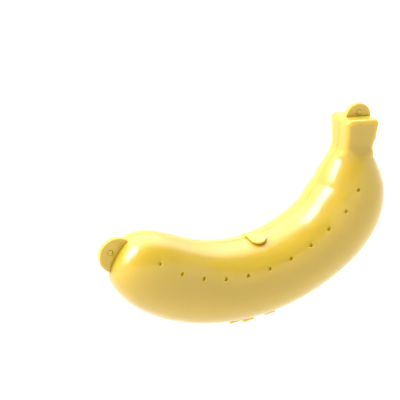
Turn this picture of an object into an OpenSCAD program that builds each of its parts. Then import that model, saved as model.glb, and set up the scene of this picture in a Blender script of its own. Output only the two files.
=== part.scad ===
// Banana carrying case: two moulded half shells on a pinned hinge, closed by a
// flexing latch tongue and by snap tabs at the tip and the stem.
// X runs from the tip to the stem, Y across the seam (front half at -Y), Z up.
// The case stands on the flat foot of its hinge, with the origin at the foot's centre.

/* [Body] */
// Outside width of the body
body_d = 54; // [51:0.5:57]
// Length of the rounded tip
tip_len = 58; // [55:1:61]
// Reach of the tip before the start of the bend
tip_end = 25; // [23:0.5:27]
// How blunt the tip is, 2 for an ellipse
tip_power = 2.8; // [2.5:0.1:3.1]
// Bend radius of the body's centre line
bend_r = 106; // [102:1:110]
// Angle of the bend from the hinge to the tip
tip_angle = 42; // [40:0.5:44]
// Angle of the bend from the hinge to the shoulder
bend_angle = 30; // [28:0.5:32]
// Wall thickness of both halves
wall = 1.8; // [1.6:0.1:2]

/* [Stem] */
// Bend radius of the centre line at the shoulder
shoulder_r = 47; // [44:1:50]
// Direction of the stem, from the horizontal
stem_angle = 78.5; // [77:0.5:80]
// Length over which the body narrows to the neck
shoulder_len = 46; // [43:1:49]
// How late the body narrows, 1 for a straight slope
shoulder_power = 2; // [1.9:0.05:2.1]
// Softness of the corner at the neck
neck_blend = 2; // [1.5:0.5:3]
// Length over which the round shoulder turns square, half of it above the neck
square_len = 14; // [12:0.5:16]
// Straight length from the shoulder's bend to the neck
neck_len = 24; // [22:0.5:26]
// Width of the neck
neck_w = 22; // [21:0.5:23]
// Width of the stem block at its top
stem_w = 24.5; // [23.5:0.5:25.5]
// Height of the stem block
stem_h = 20; // [18.5:0.5:21.5]
// Rounding of the stem block's top edges
stem_round = 3; // [2.5:0.25:3.5]
// How square the stem block is, 2 for a circle
stem_power = 9; // [7:0.5:11]

/* [Seam] */
// Height of the back half's lip inside the front half
lip_h = 2; // [1.5:0.25:2.5]
// Thickness of the lip
lip_t = 1.2; // [1:0.1:1.4]
// Clearance between the lip and the front half
lip_gap = 0.3; // [0.25:0.05:0.4]

/* [Vents] */
// Number of air holes in each half
vent_count = 11; // [7:1:13]
// Diameter of an air hole
vent_d = 2.5; // [2:0.25:3]
// Distance of the row's arc inside the body's centre line
vent_in = 9; // [7:0.5:11]
// Shift of that arc's centre from the bend's centre, toward the tip and up
vent_shift = 4; // [3:0.25:5]
// First hole's angle around the arc, toward the tip
vent_from = -43; // [-44:0.5:-40]
// Last hole's angle around the arc, toward the stem
vent_to = 50; // [46:0.5:51]

/* [Snap tabs] */
// Thickness of one tab
tab_t = 1.6; // [1.4:0.1:1.8]
// Radius of the tip tab
tip_tab_r = 11.5; // [10.5:0.5:12.5]
// Turn of the tip tab from the tip's own direction
tip_tab_turn = 3; // [0:1:6]
// Radius of the tab on the stem's top
top_tab_r = 9.25; // [8.75:0.25:9.75]
// Distance of the top tab's centre below the stem's end
top_tab_in = 0.8; // [0.4:0.1:1.2]
// Distance of the top tab from the stem's centre line, toward the outside of the bend
top_tab_side = 1.2; // [0.8:0.1:1.6]
// Radius of the small tab on the stem's outer side
side_tab_r = 5; // [4.5:0.25:5.5]
// Reach of the small tab from the stem's centre line
side_tab_reach = 17; // [16.5:0.25:17.5]
// Diameter of a snap stud
stud_d = 3; // [2.6:0.1:3.2]
// Clearance around a snap stud
stud_gap = 0.3; // [0.3:0.05:0.4]
// Distance that a snap stud stands out of the front tab
stud_proud = 0.4; // [0.3:0.1:0.6]
// Distance of the tip stud outside the tip
tip_stud_out = 5; // [4.6:0.1:5.4]
// Distance of the top stud above the stem
top_stud_out = 2.6; // [2.4:0.1:3]

/* [Hinge] */
// Length of the hinge
hinge_len = 40; // [36:1:44]
// Knuckles along the hinge, shared by the two halves
knuckles = 5; // [5:2:7]
// Radius of the hinge barrel
barrel_r = 1.7; // [1.6:0.05:1.8]
// Clearance from the barrel to the body
barrel_gap = 0.3; // [0.3:0.05:0.4]
// Reach of the flat foot to each side of the seam
foot_reach = 4; // [3.5:0.25:4.5]
// Gap between neighbouring knuckles
knuckle_gap = 0.3; // [0.3:0.05:0.5]
// Diameter of the hinge pin
pin_d = 1.6; // [1.4:0.1:1.8]
// Clearance around the hinge pin
pin_gap = 0.05; // [0.03:0.01:0.08]
// Distance of the pin's ends inside the hinge
pin_end = 0.5; // [0.25:0.25:1]

/* [Latch] */
// Width of the latch tongue
tongue_w = 10.5; // [9.5:0.5:11.5]
// Reach of the tongue over the front half
tongue_reach = 12; // [11.5:0.25:12.5]
// Thickness of the tongue
tongue_t = 1.3; // [1.2:0.1:1.5]
// Clearance under the tongue at the seam
tongue_gap = 0.6; // [0.55:0.05:0.7]
// Curve of the tongue, flatter than the body so that its end stands off
tongue_r = 45; // [42:1:48]
// Place of the tongue along the case
tongue_x = 3.5; // [2:0.5:5]
// Distance of the tongue's root behind the seam
root_back = 1; // [0.8:0.1:1.2]
// Thickness of the ledge that holds the root
ledge_t = 2.2; // [2:0.1:2.5]
// Radius of the catch and of the tongue's hook
catch_r = 0.5; // [0.45:0.05:0.55]
// Length of the catch and of the hook
catch_len = 6.5; // [6:0.5:7.5]
// Distance of the catch in front of the seam
catch_y = 6.5; // [6:0.25:7]
// Distance from the catch to the hook
hook_step = 2.1; // [2.1:0.05:2.3]

/* [Hidden] */

$fn = 64;
steps_tip = 12;
steps_body = 30;
steps_neck = 14;
steps_top = 4;
steps_round = 18;
slope_step = 0.1;
edge_min = 0.4;
yellow = [0.95, 0.80, 0.36];
steel = [0.70, 0.70, 0.72];

// Heights of the standing case
axis_z = barrel_r;
belly_z = 2 * barrel_r + barrel_gap;
body_z = belly_z + body_d / 2;
bend_z = body_z + bend_r;

// Arc lengths along the centre line, from the start of the bend
main_len = arc(bend_r, tip_angle + bend_angle);
straight_at = main_len + arc(shoulder_r, stem_angle - bend_angle);
neck_at = straight_at + neck_len;
stem_top = neck_at + stem_h;

main_centre = [0, bend_z];
shoulder_centre = on_arc(main_centre, bend_r, bend_angle) + shoulder_r * across(bend_angle);
stem_start = on_arc(shoulder_centre, shoulder_r, stem_angle);
bend_start = spine(0);

// Seam edges of the halves: steps inward and steps across the seam
front_rim = [[0, 0], [wall, 0]];
lip_in = wall + lip_gap;
back_rim = [[0, 0], [lip_in, 0], [lip_in, lip_h], [lip_in + lip_t, lip_h], [lip_in + lip_t, 0]];

knuckle_pitch = hinge_len / knuckles;
bore_d = pin_d + 2 * pin_gap;
tongue_centre_z = body_z + body_d / 2 + tongue_gap - tongue_r;

// Places of the tabs and snap studs in the seam plane
tip_tab_angle = 180 - tip_angle + tip_tab_turn;
tip_tab_at = bend_start + tip_end * along(tip_tab_angle);
tip_stud_at = tip_tab_at + tip_stud_out * along(tip_tab_angle);
top_tab_at = spine(stem_top - top_tab_in) - top_tab_side * across(stem_angle);
top_stud_at = top_tab_at + (top_tab_in + top_stud_out) * along(stem_angle);
side_tab_at = spine(neck_at + side_tab_r) - (side_tab_reach - side_tab_r) * across(stem_angle);

function arc(r, angle) = r * angle * PI / 180;
function turn(r, length) = length / r * 180 / PI;
function along(a) = [cos(a), sin(a)];
function across(a) = [-sin(a), cos(a)];
function on_arc(centre, r, a) = centre - r * across(a);
function clamp(t) = min(1, max(0, t));
function ease(t) = clamp(t) * clamp(t) * (3 - 2 * clamp(t));
function xz(p, y = 0) = [p[0], y, p[1]];

// Direction of the centre line at an arc length
function heading(s) =
    s <= 0 ? -tip_angle :
    s <= main_len ? -tip_angle + turn(bend_r, s) :
    s <= straight_at ? bend_angle + turn(shoulder_r, s - main_len) :
    stem_angle;

// Point of the centre line at an arc length: straight, bend, shoulder bend, straight
function spine(s) =
    s <= 0 ? on_arc(main_centre, bend_r, -tip_angle) + s * along(-tip_angle) :
    s <= main_len ? on_arc(main_centre, bend_r, heading(s)) :
    s <= straight_at ? on_arc(shoulder_centre, shoulder_r, heading(s)) :
    stem_start + (s - straight_at) * along(stem_angle);

// Share of the way from the round shoulder to the square neck
function squaring(s) = ease((s - neck_at) / square_len + 1 / 2);

// Half width of the section: an even body, a shoulder that slopes to the neck, a flared stem,
// with the corner between slope and stem blended
function half_width(s) =
    let (
        neck_half = neck_w / 2 - neck_blend / 4,
        share = max(0, (s - neck_at) / shoulder_len + 1),
        shoulder = body_d / 2 - (body_d / 2 - neck_half) * pow(share, shoulder_power),
        stem = neck_half + (stem_w / 2 - neck_half) * (s - neck_at) / stem_h,
        overlap = max(0, neck_blend - abs(shoulder - stem))
    ) max(shoulder, stem) + overlap * overlap / (4 * neck_blend);

// Station of the body or stem for a skin set in by w, more where it slopes so that the wall stays even
function body_station(s, w) =
    let (slope = (half_width(s + slope_step) - half_width(s - slope_step)) / (2 * slope_step))
    [s, half_width(s) - w * sqrt(1 + slope * slope), 2 + (stem_power - 2) * squaring(s)];

// Station of the stem's rounded top edge, of radius r from s on, at an angle round it
function edge_station(s, r, a, w) = body_station(s, w) + r * [sin(a), cos(a) - 1, 0];

// Station of the rounded tip at an angle from its pole, for a skin set in by w
function tip_station(a, w) =
    let (power = 2 / tip_power)
    [tip_len - tip_end - (tip_len - w) * pow(cos(a), power), (body_d / 2 - w) * pow(sin(a), power), 2];

// Stations from the tip's pole to the stem's end for a skin set in by w, each as
// arc length, half width and power of the section
function stations(w) =
    let (
        body_s = tip_len - tip_end,
        square_s = neck_at - square_len,
        edge_r = max(edge_min, stem_round - w),
        edge_s = stem_top - w - edge_r
    ) concat(
        [for (i = [0:steps_tip]) tip_station(90 * i / steps_tip, w)],
        [for (i = [1:steps_body]) body_station(body_s + (square_s - body_s) * i / steps_body, w)],
        [for (i = [1:steps_neck]) body_station(square_s + (edge_s - square_s) * i / steps_neck, w)],
        [for (i = [1:steps_top]) edge_station(edge_s, edge_r, 90 * i / steps_top, w)],
        [[stem_top - w, 0, stem_power]]
    );

// Point on a station: angle 0 is the inside of the bend, 90 the front, 180 the outside
function skin_point(station, angle, y) =
    let (
        s = station[0],
        c = cos(angle),
        n = station[1] * sign(c) * pow(abs(c), 2 / station[2]),
        depth = station[1] * pow(abs(sin(angle)), 2 / station[2])
    ) xz(spine(s) + n * across(heading(s)), y - depth);

// Lines along the shell, in order around its section: outer skin, seam edge, inner skin, seam edge
function shell_lines(rim) = concat(
    [for (j = [0:steps_round]) [0, 180 * j / steps_round, 0]],
    [for (k = [1:len(rim) - 1]) [rim[k][0], 180, rim[k][1]]],
    [for (j = [steps_round - 1:-1:1]) [wall, 180 * j / steps_round, 0]],
    [for (k = [len(rim) - 1:-1:1]) [rim[k][0], 0, rim[k][1]]]
);

// Front half as one closed skin, with lines that meet at the tip and at the stem's end
module half_shell(rim) {
    lines = shell_lines(rim);
    count = len(lines);
    skins = [for (l = lines) stations(l[0])];
    last = len(skins[0]) - 1;
    pole = [for (l = lines) [for (k = [0:count - 1]) if (lines[k][0] == l[0] && lines[k][2] == l[2]) k][0]];
    points = [for (i = [0:last]) for (c = [0:count - 1]) skin_point(skins[c][i], lines[c][1], lines[c][2])];
    rows = [for (i = [0:last]) [for (c = [0:count]) let (k = c % count)
        i * count + (i == 0 || i == last ? pole[k] : k)]];
    triangles = [for (i = [0:last - 1]) for (c = [0:count - 1]) each [
        [rows[i][c], rows[i + 1][c], rows[i + 1][c + 1]],
        [rows[i][c], rows[i + 1][c + 1], rows[i][c + 1]]]];
    polyhedron(points, [for (t = triangles) if (t[0] != t[1] && t[1] != t[2] && t[2] != t[0]) t]);
}

// Outline of the case in the seam plane, set in by w
function outline(w) =
    let (skin = stations(w), last = len(skin) - 1) concat(
        [for (i = [0:last]) spine(skin[i][0]) + skin[i][1] * across(heading(skin[i][0]))],
        [for (i = [last - 1:-1:1]) spine(skin[i][0]) - skin[i][1] * across(heading(skin[i][0]))]
    );

// Plate of the front half: a seam-plane shape with its back face on the seam
module seam_plate(t) {
    rotate([90, 0, 0]) linear_extrude(t) children();
}

// Round bar along X, centred
module bar(d, length, y, z) {
    translate([0, y, z]) rotate([0, 90, 0]) cylinder(d = d, h = length, center = true);
}

// Three tabs of the front half, cut to start inside the wall
module tabs() {
    seam_plate(tab_t) difference() {
        union() {
            translate(tip_tab_at) circle(tip_tab_r);
            translate(top_tab_at) circle(top_tab_r);
            translate(side_tab_at) circle(side_tab_r);
        }
        polygon(outline(wall / 2));
    }
}

// Round bars across the seam at the snap points, from the seam toward the front
module snap_bars(d, length) {
    seam_plate(length) {
        translate(tip_stud_at) circle(d = d);
        translate(top_stud_at) circle(d = d);
    }
}

// Air holes through the front half
module vents() {
    row_centre = main_centre + vent_shift * [-1, 1];
    for (i = [0:vent_count - 1]) {
        a = vent_from + (vent_to - vent_from) * i / (vent_count - 1);
        translate(xz(on_arc(row_centre, bend_r - vent_in, a)))
            rotate([90, 0, 0]) cylinder(d = vent_d, h = body_d);
    }
}

// Every second hinge knuckle from the first one given, each with its half of the flat foot
module front_knuckles(first) {
    for (i = [first:2:knuckles - 1]) {
        x = (i - (knuckles - 1) / 2) * knuckle_pitch;
        length = knuckle_pitch - knuckle_gap;
        belly_r = bend_r + body_d / 2;
        top = belly_z + belly_r - sqrt(belly_r * belly_r - x * x) + wall / 2;
        translate([x, 0, 0]) {
            bar(2 * barrel_r, length, 0, axis_z);
            translate([-length / 2, -foot_reach, 0]) cube([length, foot_reach, top]);
        }
    }
}

// Front half with the snap holes in its tabs and the catch for the tongue
module front_shell() {
    catch_z = body_z + sqrt(pow(body_d / 2, 2) - pow(catch_y, 2));
    color(yellow) difference() {
        union() {
            half_shell(front_rim);
            tabs();
            front_knuckles(1);
            translate([tongue_x, 0, 0]) bar(2 * catch_r, catch_len, -catch_y, catch_z);
        }
        vents();
        snap_bars(stud_d + 2 * stud_gap, 2 * tab_t);
        bar(bore_d, hinge_len, 0, axis_z);
    }
}

// Back half with the seam lip, the snap studs and the ledge for the tongue
module back_shell() {
    color(yellow) difference() {
        union() {
            mirror([0, 1, 0]) {
                half_shell(back_rim);
                tabs();
                front_knuckles(0);
            }
            translate([tongue_x - tongue_w / 2, root_back, body_z + body_d / 2 - wall / 2])
                cube([tongue_w, ledge_t, wall / 2 + tongue_gap + tongue_t]);
            snap_bars(stud_d, tab_t + stud_proud);
        }
        mirror([0, 1, 0]) vents();
        bar(bore_d, hinge_len, 0, axis_z);
    }
}

// Steel wire through all the knuckles
module hinge_pin() {
    color(steel) bar(pin_d, hinge_len - 2 * pin_end, 0, axis_z);
}

// Curved plate with a round end, rooted at the back half's ledge, with a hook under it
module latch_tongue() {
    hook_y = -catch_y - hook_step;
    hook_z = tongue_centre_z + sqrt(pow(tongue_r, 2) - pow(hook_y, 2));
    color(yellow) translate([tongue_x, 0, 0]) {
        intersection() {
            translate([0, 0, body_z]) linear_extrude(body_d) {
                translate([0, tongue_w / 2 - tongue_reach]) circle(d = tongue_w);
                translate([-tongue_w / 2, tongue_w / 2 - tongue_reach])
                    square([tongue_w, tongue_reach - tongue_w / 2 + root_back]);
            }
            difference() {
                bar(2 * (tongue_r + tongue_t), 2 * tongue_w, 0, tongue_centre_z);
                bar(2 * tongue_r, 3 * tongue_w, 0, tongue_centre_z);
            }
        }
        bar(2 * catch_r, catch_len, hook_y, hook_z);
    }
}

back_shell();
front_shell();
hinge_pin();
latch_tongue();
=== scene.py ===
import bmesh
import bpy
import numpy as np
from mathutils import Matrix


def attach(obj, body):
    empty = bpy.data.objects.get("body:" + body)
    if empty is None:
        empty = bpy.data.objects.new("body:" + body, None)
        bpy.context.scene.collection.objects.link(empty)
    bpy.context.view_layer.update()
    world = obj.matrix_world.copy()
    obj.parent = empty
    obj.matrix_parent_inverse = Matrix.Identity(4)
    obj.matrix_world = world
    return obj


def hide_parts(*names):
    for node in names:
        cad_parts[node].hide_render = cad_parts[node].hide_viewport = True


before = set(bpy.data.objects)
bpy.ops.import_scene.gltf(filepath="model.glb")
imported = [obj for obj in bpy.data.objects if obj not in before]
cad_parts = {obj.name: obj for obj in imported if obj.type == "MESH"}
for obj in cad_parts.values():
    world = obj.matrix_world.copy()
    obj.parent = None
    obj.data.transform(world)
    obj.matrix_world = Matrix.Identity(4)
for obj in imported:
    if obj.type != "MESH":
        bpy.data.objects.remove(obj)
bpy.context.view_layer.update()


# Front half shell
# One of two glossy yellow polypropylene mouldings, 1.8 mm thick, with a row of round air holes.
# Its banana form is a round section carried along a bent centre line and squared off at the stem block.
# Its edge at the seam is softly rounded. Sizes are in millimetres, and make_piece turns them into metres.

mm = 0.001
body_d = 54.0
tip_len = 58.0
tip_end = 25.0
tip_power = 2.8
bend_r = 106.0
tip_angle = np.radians(42.0)
bend_angle = np.radians(30.0)
wall = 1.8
shoulder_r = 47.0
stem_angle = np.radians(78.5)
shoulder_len = 46.0
shoulder_power = 2.0
neck_blend = 2.0
square_len = 14.0
neck_len = 24.0
neck_w = 22.0
stem_w = 24.5
stem_h = 20.0
stem_round = 3.0
stem_power = 9.0
edge_min = 0.4
seam_round = 0.45
body_z = 30.7

bend_z = body_z + bend_r
main_len = bend_r * (tip_angle + bend_angle)
straight_at = main_len + shoulder_r * (stem_angle - bend_angle)
neck_at = straight_at + neck_len
stem_top = neck_at + stem_h
shoulder_x = (bend_r - shoulder_r) * np.sin(bend_angle)
shoulder_z = bend_z - (bend_r - shoulder_r) * np.cos(bend_angle)


def ease(t):
    """Smooth step from 0 to 1: three t squared less two t cubed."""
    t = np.clip(t, 0, 1)
    return t * t * (3 - 2 * t)


def heading(s):
    """Direction of the centre line at arc length s: it turns evenly on the bend, then on the shoulder."""
    bend = np.clip(s, 0, main_len) / bend_r
    shoulder = np.clip(s - main_len, 0, straight_at - main_len) / shoulder_r
    return bend + shoulder - tip_angle


def spine(s):
    """Centre line at arc length s: a straight, an arc round the bend's centre, a shoulder arc, a straight."""
    a = heading(s)
    run = np.minimum(s, 0) + np.maximum(s - straight_at, 0)
    on_bend = s <= main_len
    x = np.where(on_bend, bend_r * np.sin(a), shoulder_x + shoulder_r * np.sin(a))
    z = np.where(on_bend, bend_z - bend_r * np.cos(a), shoulder_z - shoulder_r * np.cos(a))
    return x + run * np.cos(a), z + run * np.sin(a)


def half_width(s):
    """Half width of the section: the larger of a shoulder, which leaves the body by a power of the way to
    the neck, and a stem, which flares in a straight line. A square of their overlap blends the corner."""
    neck_half = neck_w / 2 - neck_blend / 4
    share = np.maximum(0, (s - neck_at) / shoulder_len + 1)
    shoulder = body_d / 2 - (body_d / 2 - neck_half) * share**shoulder_power
    stem = neck_half + (stem_w / 2 - neck_half) * (s - neck_at) / stem_h
    overlap = np.maximum(0, neck_blend - np.abs(shoulder - stem))
    return np.maximum(shoulder, stem) + overlap**2 / (4 * neck_blend)


tip_rows = 44
body_rows = 250
edge_rows = 10
end_rows = 12
shell_rows = tip_rows + body_rows + edge_rows + end_rows
slope_step = 0.1


def stations(w):
    """Arc length, half width and power of each section for a skin set in by w: the blunt tip, which is a
    power curve like the section's, the body and stem, the stem's rounded edge and its flat end."""
    tip, body, edge, end = np.split(w, np.cumsum([tip_rows, body_rows, edge_rows]))

    def skin_half(s, inset):
        """Half width less an inset that grows with the slope, so that the wall stays even."""
        slope = (half_width(s + slope_step) - half_width(s - slope_step)) / (2 * slope_step)
        return half_width(s) - inset * np.sqrt(1 + slope * slope)

    def edge_of(inset):
        """Radius of the stem's top edge and the arc length where it starts."""
        r = np.maximum(edge_min, stem_round - inset)
        return r, stem_top - inset - r

    turn = np.linspace(0, np.pi / 2, tip_rows)[:, None]
    body_from = tip_len - tip_end
    tip_s = body_from - (tip_len - tip) * np.cos(turn) ** (2 / tip_power)
    tip_h = (body_d / 2 - tip) * np.sin(turn) ** (2 / tip_power)
    share = np.linspace(0, 1, body_rows + 1)[1:, None]
    body_s = body_from + share * (edge_of(body)[1] - body_from)
    turn = np.linspace(0, np.pi / 2, edge_rows + 1)[1:, None]
    r, start = edge_of(edge)
    edge_s = start + r * np.sin(turn)
    edge_h = skin_half(start, edge) - r + r * np.cos(turn)
    r, start = edge_of(end)
    end_s = stem_top - end
    end_h = (skin_half(start, end) - r) * np.linspace(1, 0, end_rows + 1)[1:, None]
    s = np.concatenate([tip_s, body_s, edge_s, end_s])
    half = np.concatenate([tip_h, skin_half(body_s, body), edge_h, end_h])
    return s, half, 2 + (stem_power - 2) * ease((s - neck_at) / square_len + 1 / 2)


def grid_faces(rows, columns, closed):
    """Four-sided faces between neighbours of a grid; in a closed grid the last column meets the first."""
    i, c = np.meshgrid(np.arange(rows - 1), np.arange(columns - (not closed)), indexing="ij")
    n = (c + 1) % columns
    low = i * columns
    high = (i + 1) * columns
    return np.stack([low + c, high + c, high + n, low + n], axis=-1).reshape(-1, 4)


merge_distance = 2e-7
sharp_angle = np.radians(38)


def make_piece(name, points, faces):
    """Mesh object from points in millimetres: doubles merged, open ends filled and faces smooth."""
    mesh = bpy.data.meshes.new(name)
    mesh.from_pydata((np.reshape(points, (-1, 3)) * mm).tolist(), [], faces.tolist())
    work = bmesh.new()
    work.from_mesh(mesh)
    bmesh.ops.remove_doubles(work, verts=work.verts, dist=merge_distance)
    bmesh.ops.holes_fill(work, edges=[e for e in work.edges if e.is_boundary], sides=0)
    bmesh.ops.recalc_face_normals(work, faces=work.faces)
    work.to_mesh(mesh)
    work.free()
    piece = bpy.data.objects.new(name, mesh)
    bpy.context.scene.collection.objects.link(piece)
    mesh.shade_smooth()
    mesh.set_sharp_from_angle(angle=sharp_angle)
    return piece


def apply_modifiers(piece):
    """Keeps the modified mesh as the piece's own, smooth but for its sharp edges."""
    ready = bpy.data.meshes.new_from_object(piece.evaluated_get(bpy.context.evaluated_depsgraph_get()))
    piece.modifiers.clear()
    piece.data = ready
    ready.name = piece.name
    ready.shade_smooth()
    ready.set_sharp_from_angle(angle=sharp_angle)


def cut(piece, cutters):
    """Takes closed cutter pieces out of a piece and deletes them."""
    for cutter in cutters:
        hole = piece.modifiers.new("cut", "BOOLEAN")
        hole.operation = "DIFFERENCE"
        hole.solver = "EXACT"
        hole.object = cutter
    apply_modifiers(piece)
    for cutter in cutters:
        bpy.data.objects.remove(cutter)


over_columns = 121
back_columns = 61
seam_crowding = 0.9
lip_fade = 6.0


def shell_surface(side, rim):
    """Closed skin of one half: the section, a power curve, runs over the outside, across the seam edge and
    back over the inside. rim lists the seam edge's steps, each an inset and a reach over the seam. Near the
    seam the outside is set in by a quarter circle, which rounds its edge."""
    rim = np.array(rim)
    u = np.linspace(0, 1, over_columns)
    over = np.pi * (u - seam_crowding * np.sin(2 * np.pi * u) / (2 * np.pi))
    back = np.linspace(np.pi, 0, back_columns)
    root = wall + (rim[-1, 0] - wall) * (1 - ease(np.sin(back) * lip_fade))
    angle = np.concatenate([over, np.full(len(rim), np.pi), back, np.zeros(len(rim))])
    inset = np.concatenate([0 * over, rim[:, 0], root, rim[::-1, 0]])
    reach = np.concatenate([0 * over, rim[:, 1], 0 * back, rim[::-1, 1]])
    cos = np.abs(np.cos(angle))
    sin = np.abs(np.sin(angle))

    def section(w):
        """Arc length, height across the bend and depth from the seam of a skin set in by w."""
        s, half, power = stations(w)
        size = half / (cos**power + sin**power) ** (1 / power)
        return s, size * np.cos(angle), size * sin

    w = np.tile(inset, (shell_rows, 1))
    depth = section(w)[2]
    near = np.clip(1 - depth[:, : len(over)] / seam_round, 0, 1)
    w[:, : len(over)] = seam_round * (1 - np.sqrt(1 - near * near))
    s, n, depth = section(w)
    x, z = spine(s)
    a = heading(s)
    points = np.stack([x - n * np.sin(a), side * (depth - reach), z + n * np.cos(a)], axis=-1)
    return points, grid_faces(shell_rows, len(angle), True)


bar_sides = 40


def round_bar(name, profile, centre, axis):
    """Turned piece: a profile of (radius, distance along) carried round an axis through centre."""
    profile = np.array(profile, float)
    turn = np.linspace(0, 2 * np.pi, bar_sides, endpoint=False)
    r = profile[:, :1]
    along = profile[:, 1:] + 0 * turn
    flat = [r * np.cos(turn), r * np.sin(turn)]
    spot = {"x": [along, *flat], "y": [flat[1], along, flat[0]]}[axis]
    points = np.stack(spot, axis=-1) + np.array(centre)
    return make_piece(name, points, grid_faces(len(profile), bar_sides, True))


def plain_bar(name, d, start, end, centre, axis):
    """Round bar of one diameter between two distances along its axis."""
    return round_bar(name, [[0, start], [d / 2, start], [d / 2, end], [0, end]], centre, axis)


vent_count = 11
vent_d = 2.5
vent_from = 1.0
vent_r = bend_r - 9.0
vent_centre_x = -4.0
vent_centre_z = bend_z + 4.0
vent_angles = np.radians(np.linspace(-43, 50, vent_count))


def vent_cutters(side):
    """Round bars through one half at the air holes, evenly spaced on an arc."""
    x = vent_centre_x + vent_r * np.sin(vent_angles)
    z = vent_centre_z - vent_r * np.cos(vent_angles)
    ends = [side * vent_from, side * body_d]
    return [plain_bar("vent", vent_d, *ends, [x[i], 0, z[i]], "y") for i in range(vent_count)]


def plastic(name, colour, scatter):
    """Moulded plastic: slow drifts of colour, a faint ripple from the mould and scatter under the surface,
    given as the distance in metres that red, green and blue light goes."""
    material = bpy.data.materials.new(name)
    material.use_nodes = True
    tree = material.node_tree
    shader = tree.nodes["Principled BSDF"]
    place = tree.nodes.new("ShaderNodeTexCoord")

    def noise(scale, detail):
        """Noise over the piece's own coordinates, from 0 to 1."""
        node = tree.nodes.new("ShaderNodeTexNoise")
        node.inputs["Scale"].default_value = scale
        node.inputs["Detail"].default_value = detail
        tree.links.new(place.outputs["Object"], node.inputs["Vector"])
        return node.outputs["Fac"]

    darker = np.array(colour) * [0.975, 0.96, 0.9]
    drift = tree.nodes.new("ShaderNodeValToRGB")
    drift.color_ramp.elements[0].position = 0.3
    drift.color_ramp.elements[0].color = [*darker, 1]
    drift.color_ramp.elements[1].position = 0.7
    drift.color_ramp.elements[1].color = [*colour, 1]
    tree.links.new(noise(scale=22, detail=3), drift.inputs["Fac"])
    tree.links.new(drift.outputs["Color"], shader.inputs["Base Color"])
    wear = tree.nodes.new("ShaderNodeMapRange")
    wear.inputs["To Min"].default_value = 0.26
    wear.inputs["To Max"].default_value = 0.36
    tree.links.new(noise(scale=140, detail=4), wear.inputs["Value"])
    tree.links.new(wear.outputs["Result"], shader.inputs["Roughness"])
    ripple = tree.nodes.new("ShaderNodeBump")
    ripple.inputs["Strength"].default_value = 0.04
    ripple.inputs["Distance"].default_value = 0.0004
    tree.links.new(noise(scale=420, detail=2), ripple.inputs["Height"])
    tree.links.new(ripple.outputs["Normal"], shader.inputs["Normal"])
    shader.inputs["IOR"].default_value = 1.5
    shader.inputs["Coat Weight"].default_value = 0.6
    shader.inputs["Coat Roughness"].default_value = 0.08
    shader.inputs["Subsurface Weight"].default_value = 0.9
    shader.inputs["Subsurface Radius"].default_value = scatter
    shader.inputs["Subsurface Scale"].default_value = 1.0
    return material


yellow = plastic("yellow_plastic", [0.60, 0.38, 0.035], [0.011, 0.009, 0.0015])


def yellow_piece(piece, body, look=yellow):
    """Yellow plastic piece that rides on a body."""
    piece.data.materials.clear()
    piece.data.materials.append(look)
    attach(piece, body)


front = make_piece("front_shell_skin", *shell_surface(-1, [[wall, 0]]))
cut(front, vent_cutters(-1))
yellow_piece(front, "front_half")
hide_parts("front_shell")


# Back half shell
# The same moulding on the other side of the seam, with a thin lip that nests inside the front half
# and keeps the two edges in line.

lip_in = wall + 0.3
lip_out = lip_in + 1.2
lip_h = 2.0
lip_round = 0.3
back_rim = [
    [lip_in, 0],
    [lip_in, lip_h - lip_round],
    [lip_in + lip_round, lip_h],
    [lip_out - lip_round, lip_h],
    [lip_out, lip_h - lip_round],
    [lip_out, 0],
]
back = make_piece("back_shell_skin", *shell_surface(1, back_rim))
cut(back, vent_cutters(1))
yellow_piece(back, "back_half")
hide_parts("back_shell")


# Snap tabs
# Flat round tabs moulded on both halves at the tip, on the stem's top and on the stem's outer side.
# They give the thumb a grip, and the two large ones snap together by a stud in a hole.

tab_t = 1.6
tab_gap = 0.05
tab_round = 0.45
tip_tab_r = 11.5
tip_tab_angle = np.pi - tip_angle + np.radians(3)
tip_root_in = 0.5
top_tab_r = 9.25
top_tab_in = 0.8
top_tab_side = 1.2
side_tab_r = 5.0
side_tab_reach = 17.0
stud_d = 3.0
stud_hole_d = 3.6
stud_proud = 0.4
stud_root = 0.4
tip_stud_out = 5.0
top_stud_out = 2.6
rim_points = 73
round_points = 7
nose_points = 8
# The tabs, studs and latch parts use a copy of the shells' plastic with a lighter, more lemon colour and
# shorter scatter. That colour is painted glow: it stands for light shining through the thin plastic from
# behind.
painted_glow_yellow = plastic("painted_glow_yellow_plastic", [0.61, 0.46, 0.04], [0.003, 0.002, 0.0004])


def polar(angle):
    """Unit vectors at these angles."""
    return np.stack([np.cos(angle), np.sin(angle)], axis=-1)


def plate(rim, root, thickness):
    """Plate from a root line to a rim line: a section that runs out from the root, round two quarter
    circles at the rim and back, carried along the rim. Gives plan points and heights."""
    reach = rim - root
    length = np.linalg.norm(reach, axis=1, keepdims=True)
    way = reach / np.maximum(length, 1e-6)
    r = np.minimum(tab_round, length)
    turn = np.linspace(0, np.pi / 2, round_points)
    out = np.hstack([0 * length, length - r + r * np.sin(turn), length - r + r * np.cos(turn), 0 * length])
    low = tab_round - tab_round * np.cos(turn)
    high = thickness - tab_round + tab_round * np.sin(turn)
    height = np.concatenate([[0], low, high, [thickness]]) + 0 * out
    plan = root[:, None, :] + out[..., None] * way[:, None, :]
    return plan, height


def seam_plate(name, rim, root, side):
    """Tab that stands a hair off the seam plane and thickens to one side of it."""
    plan, height = plate(rim, root, tab_t - tab_gap)
    points = np.stack([plan[..., 0], side * (tab_gap + height), plan[..., 1]], axis=-1)
    return make_piece(name, points, grid_faces(*height.shape, True))


def disc_lines(centre, r, way, behind):
    """Rim and root of a disc that faces a way and is cut off straight at a distance behind its centre."""
    spread = np.arccos(-behind / r)
    turn = np.linspace(-spread, spread, rim_points)[:, None]
    along = centre + r * np.sin(turn) * [-way[1], way[0]]
    return along + r * np.cos(turn) * way, along - behind * way


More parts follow.
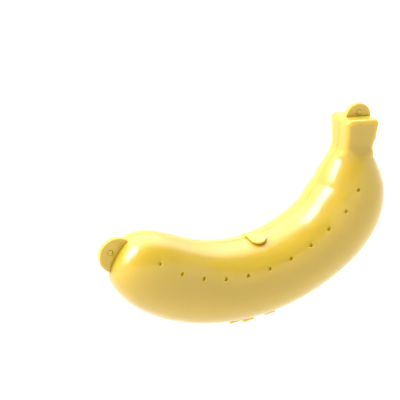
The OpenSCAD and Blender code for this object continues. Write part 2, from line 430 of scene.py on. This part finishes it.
tip_way = polar(tip_tab_angle)
bend_start = np.stack(spine(np.array(0.0)))
tip_tab_at = bend_start + tip_end * tip_way
tip_root_r = tip_end - tip_root_in
tip_spread = np.arccos((tip_root_r**2 - tip_end**2 - tip_tab_r**2) / (2 * tip_end * tip_tab_r))
tip_turn = tip_tab_angle + np.linspace(-tip_spread, tip_spread, rim_points)
tip_rim = tip_tab_at + tip_tab_r * polar(tip_turn)
tip_out = tip_rim - bend_start
tip_root = bend_start + tip_root_r * tip_out / np.linalg.norm(tip_out, axis=1, keepdims=True)

stem_way = polar(stem_angle)
stem_out = polar(stem_angle - np.pi / 2)
top_tab_at = np.stack(spine(np.array(stem_top - top_tab_in))) + top_tab_side * stem_out
top_lines = disc_lines(top_tab_at, top_tab_r, stem_way, wall / 2 - top_tab_in)
side_from = side_tab_reach - side_tab_r
side_tab_at = np.stack(spine(np.array(neck_at + side_tab_r))) + side_from * stem_out
side_behind = side_from - half_width(neck_at + side_tab_r) + wall / 2
side_lines = disc_lines(side_tab_at, side_tab_r, stem_out, side_behind)
tip_stud_at = tip_tab_at + tip_stud_out * tip_way
top_stud_at = top_tab_at + (top_tab_in + top_stud_out) * stem_way


def stud(name, where):
    """Snap stud: a short bar from its own tab through the other tab's hole, with a rounded end."""
    nose = np.linspace(0, np.pi / 2, nose_points)[:, None]
    end = tab_t + stud_proud - tab_round
    dome_r = stud_d / 2 - tab_round + tab_round * np.cos(nose)
    dome = np.hstack([dome_r, -end - tab_round * np.sin(nose)])
    profile = np.vstack([[[0, stud_root], [stud_d / 2, stud_root]], dome, [[0, -end - tab_round]]])
    return round_bar(name, profile, where, "y")


for side, body, half in ((-1, "front_half", "front"), (1, "back_half", "back")):
    tip_tab = seam_plate(f"{half}_tip_tab", tip_rim, tip_root, side)
    top_tab = seam_plate(f"{half}_top_tab", *top_lines, side)
    side_tab = seam_plate(f"{half}_side_tab", *side_lines, side)
    for tab, at in ((tip_tab, tip_stud_at), (top_tab, top_stud_at)):
        where = [at[0], 0, at[1]]
        if half == "front":
            cut(tab, [plain_bar("stud_hole", stud_hole_d, -2 * tab_t, tab_t, where, "y")])
        else:
            yellow_piece(stud(tab.name.replace("tab", "stud"), where), body, painted_glow_yellow)
    for tab in (tip_tab, top_tab, side_tab):
        yellow_piece(tab, body, painted_glow_yellow)


# Hinge knuckles
# Five short barrels under the belly, moulded in turn on the back and the front half.
# Each has half of the flat foot on which the case stands.

hinge_len = 40.0
knuckles = 5
knuckle_gap = 0.3
knuckle_edge = 0.2
barrel_r = 1.7
barrel_points = 25
foot_reach = 4.0
foot_round = 0.5
bore_d = 1.7
belly_z = body_z - body_d / 2
belly_r = bend_r + body_d / 2
pitch = hinge_len / knuckles


def soften(piece, width, segments):
    """Rounds the sharp edges of a piece by a bevel of this width in millimetres."""
    soft = piece.modifiers.new("soft_edges", "BEVEL")
    soft.width = width * mm
    soft.segments = segments
    soft.limit_method = "ANGLE"
    apply_modifiers(piece)


def knuckle(name, x, side):
    """Knuckle: a profile round the outer half of the barrel, up into the wall, out to the foot's edge and
    back along the floor, carried along the hinge."""
    top = belly_z + belly_r - np.sqrt(belly_r**2 - x**2) + wall / 2
    turn = np.linspace(-np.pi / 2, np.pi / 2, barrel_points)
    barrel = np.stack([-barrel_r * np.cos(turn), barrel_r + barrel_r * np.sin(turn)], axis=-1)
    turn = np.linspace(0, -np.pi / 2, round_points)
    toe = [foot_reach - foot_round, foot_round] + foot_round * polar(turn)
    profile = np.vstack([barrel, [[0, top], [foot_reach, top]], toe]) * [side, 1]
    half = (pitch - knuckle_gap) / 2
    ends = np.array([x - half, x + half])[:, None]
    points = np.stack(np.broadcast_arrays(ends, profile[:, 0], profile[:, 1]), axis=-1)
    piece = make_piece(name, points, grid_faces(2, len(profile), True))
    cut(piece, [plain_bar("bore", bore_d, -pitch, pitch, [x, 0, barrel_r], "x")])
    soften(piece, knuckle_edge, 2)
    return piece


for i in range(knuckles):
    on_back = i % 2 == 0
    piece = knuckle(f"knuckle_{i + 1}", (i - (knuckles - 1) / 2) * pitch, 1 if on_back else -1)
    yellow_piece(piece, "back_half" if on_back else "front_half")


# Hinge pin
# A straight length of drawn steel wire through all five knuckles. It ends just short of the outer ones,
# and its ends are broken so that it slides in.

pin_d = 1.6
pin_short = 0.5
pin_break = 0.2
pin_half = hinge_len / 2 - pin_short
pin_end = np.array([[0, pin_half], [pin_d / 2 - pin_break, pin_half], [pin_d / 2, pin_half - pin_break]])
pin = round_bar("hinge_wire", np.vstack([pin_end, pin_end[::-1] * [1, -1]]), [0, 0, barrel_r], "x")
steel = bpy.data.materials.new("pin_steel")
steel.use_nodes = True
steel_tree = steel.node_tree
steel_shader = steel_tree.nodes["Principled BSDF"]
steel_shader.inputs["Base Color"].default_value = [0.62, 0.62, 0.64, 1]
steel_shader.inputs["Metallic"].default_value = 1.0
steel_place = steel_tree.nodes.new("ShaderNodeTexCoord")
stretch = steel_tree.nodes.new("ShaderNodeMapping")
stretch.inputs["Scale"].default_value = [40, 4000, 4000]
draw_lines = steel_tree.nodes.new("ShaderNodeTexNoise")
draw_rough = steel_tree.nodes.new("ShaderNodeMapRange")
draw_rough.inputs["To Min"].default_value = 0.25
draw_rough.inputs["To Max"].default_value = 0.5
steel_tree.links.new(steel_place.outputs["Object"], stretch.inputs["Vector"])
steel_tree.links.new(stretch.outputs["Vector"], draw_lines.inputs["Vector"])
steel_tree.links.new(draw_lines.outputs["Fac"], draw_rough.inputs["Value"])
steel_tree.links.new(draw_rough.outputs["Result"], steel_shader.inputs["Roughness"])
pin.data.materials.append(steel)
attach(pin, "back_half")
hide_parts("hinge_pin")


# Latch
# A springy yellow tongue, moulded on a ledge of the back half, bends over the seam at the middle of the
# case. A rib under it hooks behind a catch on the front half.

tongue_w = 10.5
tongue_reach = 12.0
tongue_t = 1.3
tongue_gap = 0.6
tongue_r = 45.0
tongue_x = 3.5
root_back = 1.0
ledge_t = 2.2
ledge_edge = 0.3
catch_r = 0.5
catch_len = 6.5
catch_y = 6.5
hook_step = 2.1
end_points = 41
side_points = 9
top_z = body_z + body_d / 2
tongue_centre_z = top_z + tongue_gap - tongue_r


def rib(name, y, z):
    """Short round bar along the case with domed ends."""
    nose = np.linspace(0, np.pi / 2, round_points)[:, None]
    end = np.hstack([catch_r * np.sin(nose), catch_len / 2 - catch_r + catch_r * np.cos(nose)])
    return round_bar(name, np.vstack([end, end[::-1] * [1, -1]]), [tongue_x, y, z], "x")


# The tongue is a plate with straight sides and a round end, laid over a cylinder of radius tongue_r.
neck_y = tongue_w / 2 - tongue_reach
sides = np.linspace(root_back, neck_y, side_points)[:-1]
left = np.stack([0 * sides - tongue_w / 2, sides], axis=-1)
right = np.stack([0 * sides + tongue_w / 2, sides], axis=-1)[::-1]
round_end = [0, neck_y] + tongue_w / 2 * polar(np.linspace(np.pi, 2 * np.pi, end_points))
tongue_rim = np.vstack([left, round_end, right])
tongue_mid = np.stack([0 * tongue_rim[:, 0], np.maximum(tongue_rim[:, 1], neck_y)], axis=-1)
plan, height = plate(tongue_rim, tongue_mid, tongue_t)
tongue_z = tongue_centre_z + np.sqrt((tongue_r + height) ** 2 - plan[..., 1] ** 2)
tongue_points = np.stack([tongue_x + plan[..., 0], plan[..., 1], tongue_z], axis=-1)
tongue = make_piece("latch_blade", tongue_points, grid_faces(*height.shape, False))
yellow_piece(tongue, "tongue", painted_glow_yellow)
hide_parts("latch_tongue")

hook_y = -catch_y - hook_step
hook_z = tongue_centre_z + np.sqrt(tongue_r**2 - hook_y**2)
yellow_piece(rib("latch_hook", hook_y, hook_z), "tongue", painted_glow_yellow)
catch_z = body_z + np.sqrt(body_d**2 / 4 - catch_y**2)
yellow_piece(rib("latch_catch", -catch_y, catch_z), "front_half")

# The ledge is a block behind the tongue's root, from inside the wall up to the tongue's top.
ledge_low = top_z - wall / 2
ledge_top = top_z + tongue_gap + tongue_t
ledge_x = tongue_x + tongue_w / 2 * np.array([-1, 1, 1, -1])
ledge_y = np.array([root_back, root_back + ledge_t])[:, None]
ledge_z = np.array([ledge_low, ledge_low, ledge_top, ledge_top])
ledge_points = np.stack(np.broadcast_arrays(ledge_x, ledge_y, ledge_z), axis=-1)
ledge = make_piece("latch_ledge", ledge_points, grid_faces(2, 4, True))
soften(ledge, ledge_edge, 3)
yellow_piece(ledge, "back_half", painted_glow_yellow)


# Studio
# A pale, see-through floor, so that the half which swings below it on opening stays in view. The room has
# light walls, a dim ceiling with a long soft glow a little behind, and a softbox up on the left. The
# camera has a long lens at the photograph's angle, slightly rolled. Sizes are in metres.

floor_half = 4.0
floor_mesh = bpy.data.meshes.new("floor")
floor_corners = np.array([[-1, -1, 0], [1, -1, 0], [1, 1, 0], [-1, 1, 0]]) * floor_half
floor_mesh.from_pydata(floor_corners.tolist(), [], [[0, 1, 2, 3]])
floor = bpy.data.objects.new("floor", floor_mesh)
bpy.context.scene.collection.objects.link(floor)
floor_paint = bpy.data.materials.new("floor_paint")
floor_paint.use_nodes = True
floor_shader = floor_paint.node_tree.nodes["Principled BSDF"]
floor_shader.inputs["Base Color"].default_value = [0.35, 0.35, 0.35, 1]
floor_shader.inputs["Roughness"].default_value = 0.7
floor_shader.inputs["Emission Color"].default_value = [1, 0.97, 0.92, 1]
floor_shader.inputs["Emission Strength"].default_value = 0.75
floor_shader.inputs["Alpha"].default_value = 0.25
floor_mesh.materials.append(floor_paint)

world = bpy.data.worlds.new("room")
world.use_nodes = True
room = world.node_tree
direction = room.nodes.new("ShaderNodeTexCoord")
rise = room.nodes.new("ShaderNodeSeparateXYZ")
room.links.new(direction.outputs["Generated"], rise.inputs[0])
walls = room.nodes.new("ShaderNodeMapRange")
walls.interpolation_type = "SMOOTHSTEP"
walls.inputs["From Min"].default_value = 0.38
walls.inputs["From Max"].default_value = 0.55
walls.inputs["To Min"].default_value = 1.4
walls.inputs["To Max"].default_value = 0.12
room.links.new(rise.outputs["Z"], walls.inputs["Value"])
squeeze = room.nodes.new("ShaderNodeVectorMath")
squeeze.operation = "MULTIPLY"
squeeze.inputs[1].default_value = [0.35, 1, 1]
room.links.new(direction.outputs["Generated"], squeeze.inputs[0])
even = room.nodes.new("ShaderNodeVectorMath")
even.operation = "NORMALIZE"
room.links.new(squeeze.outputs["Vector"], even.inputs[0])
toward = room.nodes.new("ShaderNodeVectorMath")
toward.operation = "DOT_PRODUCT"
toward.inputs[1].default_value = [0, 0.45, 0.89]
room.links.new(even.outputs["Vector"], toward.inputs[0])
glow = room.nodes.new("ShaderNodeMapRange")
glow.interpolation_type = "SMOOTHSTEP"
glow.inputs["From Min"].default_value = 0.76
glow.inputs["From Max"].default_value = 0.98
glow.inputs["To Max"].default_value = 3.7
room.links.new(toward.outputs["Value"], glow.inputs["Value"])
wall_light = room.nodes["Background"]
wall_light.inputs["Color"].default_value = [1, 0.96, 0.88, 1]
room.links.new(walls.outputs["Result"], wall_light.inputs["Strength"])
glow_light = room.nodes.new("ShaderNodeBackground")
glow_light.inputs["Color"].default_value = [1, 1, 1, 1]
room.links.new(glow.outputs["Result"], glow_light.inputs["Strength"])
both = room.nodes.new("ShaderNodeAddShader")
room.links.new(wall_light.outputs["Background"], both.inputs[0])
room.links.new(glow_light.outputs["Background"], both.inputs[1])
room.links.new(both.outputs["Shader"], room.nodes["World Output"].inputs["Surface"])
bpy.context.scene.world = world

aim = np.array([-0.0303, 0, 0.0931])
softbox_distance = 1.2
softbox_way = np.array([-0.55, 0.08, 0.81])
softbox_back = softbox_way / np.linalg.norm(softbox_way)
softbox_right = np.cross([0, 0, 1], softbox_back)
softbox_right = softbox_right / np.linalg.norm(softbox_right)
softbox_up = np.cross(softbox_back, softbox_right)
softbox_axes = np.stack([softbox_right, softbox_up, softbox_back], axis=1)
lamp = bpy.data.lights.new("left_softbox", "AREA")
lamp.shape = "RECTANGLE"
lamp.size = 0.55
lamp.size_y = 0.98
lamp.energy = 21.5
softbox = bpy.data.objects.new("left_softbox", lamp)
softbox_at = Matrix.Translation(aim + softbox_distance * softbox_back)
softbox.matrix_world = softbox_at @ Matrix(softbox_axes.tolist()).to_4x4()
bpy.context.scene.collection.objects.link(softbox)

camera_distance = 0.9
camera_turn = np.radians(-22.22)
camera_rise = np.radians(24.81)
camera_roll = np.radians(-6.99)
camera = bpy.data.objects.new("camera", bpy.data.cameras.new("camera"))
camera.data.lens = 129.6
camera.data.sensor_width = 36.0
camera.data.clip_start = 0.01
bpy.context.scene.collection.objects.link(camera)
camera.matrix_world = (
    Matrix.Translation(aim)
    @ Matrix.Rotation(camera_turn, 4, "Z")
    @ Matrix.Rotation(np.pi / 2 - camera_rise, 4, "X")
    @ Matrix.Rotation(camera_roll, 4, "Z")
    @ Matrix.Translation([0, 0, camera_distance])
)
bpy.context.scene.camera = camera
bpy.context.scene.view_settings.view_transform = "Standard"
